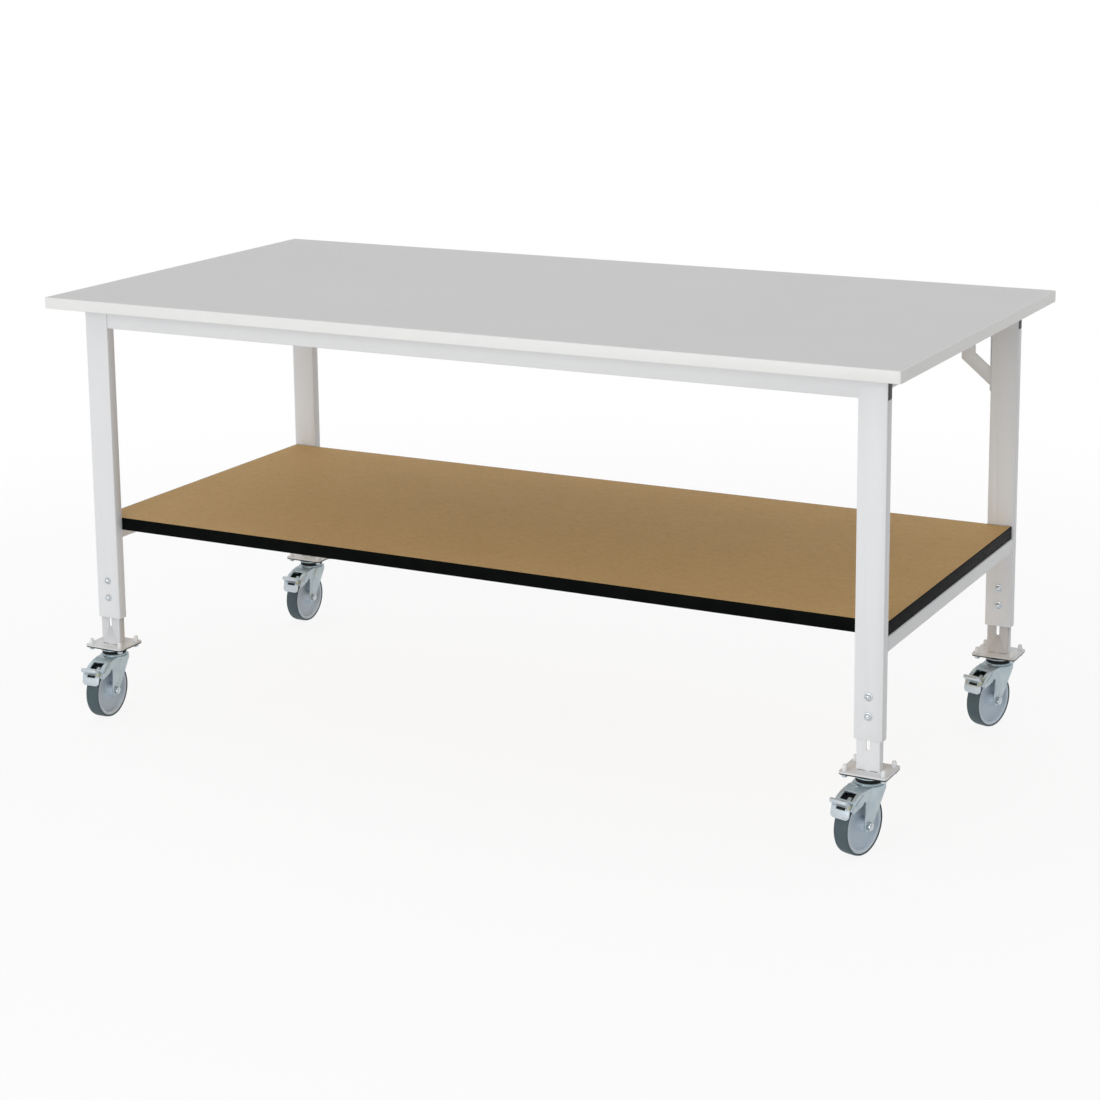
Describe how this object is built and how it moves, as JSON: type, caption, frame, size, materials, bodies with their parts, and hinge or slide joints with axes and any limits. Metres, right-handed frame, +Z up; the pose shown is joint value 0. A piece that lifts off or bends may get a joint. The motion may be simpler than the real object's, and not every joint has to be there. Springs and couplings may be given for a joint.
{
  "type": "assembly table",
  "caption": "Assembly table with a large worktop, a shelf below, telescopic tube legs held by clamp screws, and braked swivel castors.",
  "frame": {"origin": "centre of the table on the floor", "axes": "+X along the table, +Y to the back, +Z up"},
  "size_m": [2, 1.0219, 0.975],
  "materials": {
    "melamine": "matt light grey melamine face",
    "edge_band": "satin white edge band",
    "powder_coat": "satin white powder coat",
    "black_plastic": "satin black",
    "brown_board": "bare brown fibre board",
    "zinc_steel": "bright zinc plate",
    "bright_steel": "bright plated fasteners",
    "wheel_plastic": "moulded blue grey plastic",
    "tyre_rubber": "matt dark slate rubber",
    "brake_rubber": "matt black"
  },
  "bodies": {
    "frame": {"tabletop_board": "melamine", "tabletop_edging": "edge_band", "front_rail": "powder_coat", "rear_rail": "powder_coat", "shelf_board": "brown_board", "shelf_edging": "black_plastic", "rail_plug_front_left": "black_plastic", "rail_plug_front_right": "black_plastic", "rail_plug_rear_left": "black_plastic", "rail_plug_rear_right": "black_plastic", "side_rail_left": "powder_coat", "side_rail_right": "powder_coat", "shelf_crossbar_left": "powder_coat", "shelf_crossbar_right": "powder_coat", "corner_brace_left": "powder_coat", "corner_brace_right": "powder_coat", "outer_leg_front_left": "powder_coat", "outer_leg_front_right": "powder_coat", "outer_leg_rear_left": "powder_coat", "outer_leg_rear_right": "powder_coat", "clamp_screw_front_left_lower": "bright_steel", "clamp_screw_front_left_upper": "bright_steel", "clamp_screw_front_right_lower": "bright_steel", "clamp_screw_front_right_upper": "bright_steel", "clamp_screw_rear_left_lower": "bright_steel", "clamp_screw_rear_left_upper": "bright_steel", "clamp_screw_rear_right_lower": "bright_steel", "clamp_screw_rear_right_upper": "bright_steel"},
    "leg_front_left": {"inner_leg_front_left": "powder_coat", "caster_plate_front_left": "zinc_steel"},
    "swivel_front_left": {"caster_fork_front_left": "zinc_steel", "caster_axle_front_left": "bright_steel"},
    "wheel_front_left": {"wheel_core_front_left": "wheel_plastic", "tyre_front_left": "tyre_rubber"},
    "pedal_front_left": {"brake_pedal_front_left": "zinc_steel", "brake_shoe_front_left": "brake_rubber"},
    "leg_front_right": {"inner_leg_front_right": "powder_coat", "caster_plate_front_right": "zinc_steel"},
    "swivel_front_right": {"caster_fork_front_right": "zinc_steel", "caster_axle_front_right": "bright_steel"},
    "wheel_front_right": {"wheel_core_front_right": "wheel_plastic", "tyre_front_right": "tyre_rubber"},
    "pedal_front_right": {"brake_pedal_front_right": "zinc_steel", "brake_shoe_front_right": "brake_rubber"},
    "leg_rear_left": {"inner_leg_rear_left": "powder_coat", "caster_plate_rear_left": "zinc_steel"},
    "swivel_rear_left": {"caster_fork_rear_left": "zinc_steel", "caster_axle_rear_left": "bright_steel"},
    "wheel_rear_left": {"wheel_core_rear_left": "wheel_plastic", "tyre_rear_left": "tyre_rubber"},
    "pedal_rear_left": {"brake_pedal_rear_left": "zinc_steel", "brake_shoe_rear_left": "brake_rubber"},
    "leg_rear_right": {"inner_leg_rear_right": "powder_coat", "caster_plate_rear_right": "zinc_steel"},
    "swivel_rear_right": {"caster_fork_rear_right": "zinc_steel", "caster_axle_rear_right": "bright_steel"},
    "wheel_rear_right": {"wheel_core_rear_right": "wheel_plastic", "tyre_rear_right": "tyre_rubber"},
    "pedal_rear_right": {"brake_pedal_rear_right": "zinc_steel", "brake_shoe_rear_right": "brake_rubber"}
  },
  "joints": [
    {"name": "leg_extend_front_left", "type": "slide", "parent": "frame", "child": "leg_front_left", "axis": [0, 0, -1], "range_m": [-0.055, 0.145]},
    {"name": "caster_swivel_front_left", "type": "hinge", "parent": "leg_front_left", "child": "swivel_front_left", "pos_m": [-0.918, -0.4125, 0.14], "axis": [0, 0, 1], "continuous": true},
    {"name": "wheel_spin_front_left", "type": "hinge", "parent": "swivel_front_left", "child": "wheel_front_left", "pos_m": [-0.91549, -0.44841, 0.06196], "axis": [0.9976, 0.0698, 0], "continuous": true},
    {"name": "brake_press_front_left", "type": "hinge", "parent": "swivel_front_left", "child": "pedal_front_left", "pos_m": [-0.91209, -0.49708, 0.11076], "axis": [0.9976, 0.0698, 0], "range_deg": [0, 10]},
    {"name": "leg_extend_front_right", "type": "slide", "parent": "frame", "child": "leg_front_right", "axis": [0, 0, -1], "range_m": [-0.055, 0.145]},
    {"name": "caster_swivel_front_right", "type": "hinge", "parent": "leg_front_right", "child": "swivel_front_right", "pos_m": [0.918, -0.4125, 0.14], "axis": [0, 0, 1], "continuous": true},
    {"name": "wheel_spin_front_right", "type": "hinge", "parent": "swivel_front_right", "child": "wheel_front_right", "pos_m": [0.90929, -0.44743, 0.06196], "axis": [0.9703, -0.2419, 0], "continuous": true},
    {"name": "brake_press_front_right", "type": "hinge", "parent": "swivel_front_right", "child": "pedal_front_right", "pos_m": [0.89749, -0.49477, 0.11076], "axis": [0.9703, -0.2419, 0], "range_deg": [0, 10]},
    {"name": "leg_extend_rear_left", "type": "slide", "parent": "frame", "child": "leg_rear_left", "axis": [0, 0, -1], "range_m": [-0.055, 0.145]},
    {"name": "caster_swivel_rear_left", "type": "hinge", "parent": "leg_rear_left", "child": "swivel_rear_left", "pos_m": [-0.918, 0.4125, 0.14], "axis": [0, 0, 1], "continuous": true},
    {"name": "wheel_spin_rear_left", "type": "hinge", "parent": "swivel_rear_left", "child": "wheel_rear_left", "pos_m": [-0.918, 0.3765, 0.06196], "axis": [1, 0, 0], "continuous": true},
    {"name": "brake_press_rear_left", "type": "hinge", "parent": "swivel_rear_left", "child": "pedal_rear_left", "pos_m": [-0.918, 0.32771, 0.11076], "axis": [1, 0, 0], "range_deg": [0, 10]},
    {"name": "leg_extend_rear_right", "type": "slide", "parent": "frame", "child": "leg_rear_right", "axis": [0, 0, -1], "range_m": [-0.055, 0.145]},
    {"name": "caster_swivel_rear_right", "type": "hinge", "parent": "leg_rear_right", "child": "swivel_rear_right", "pos_m": [0.918, 0.4125, 0.14], "axis": [0, 0, 1], "continuous": true},
    {"name": "wheel_spin_rear_right", "type": "hinge", "parent": "swivel_rear_right", "child": "wheel_rear_right", "pos_m": [0.90748, 0.37807, 0.06196], "axis": [0.9563, -0.2924, 0], "continuous": true},
    {"name": "brake_press_rear_right", "type": "hinge", "parent": "swivel_rear_right", "child": "pedal_rear_right", "pos_m": [0.89321, 0.33142, 0.11076], "axis": [0.9563, -0.2924, 0], "range_deg": [0, 10]}
  ]
}
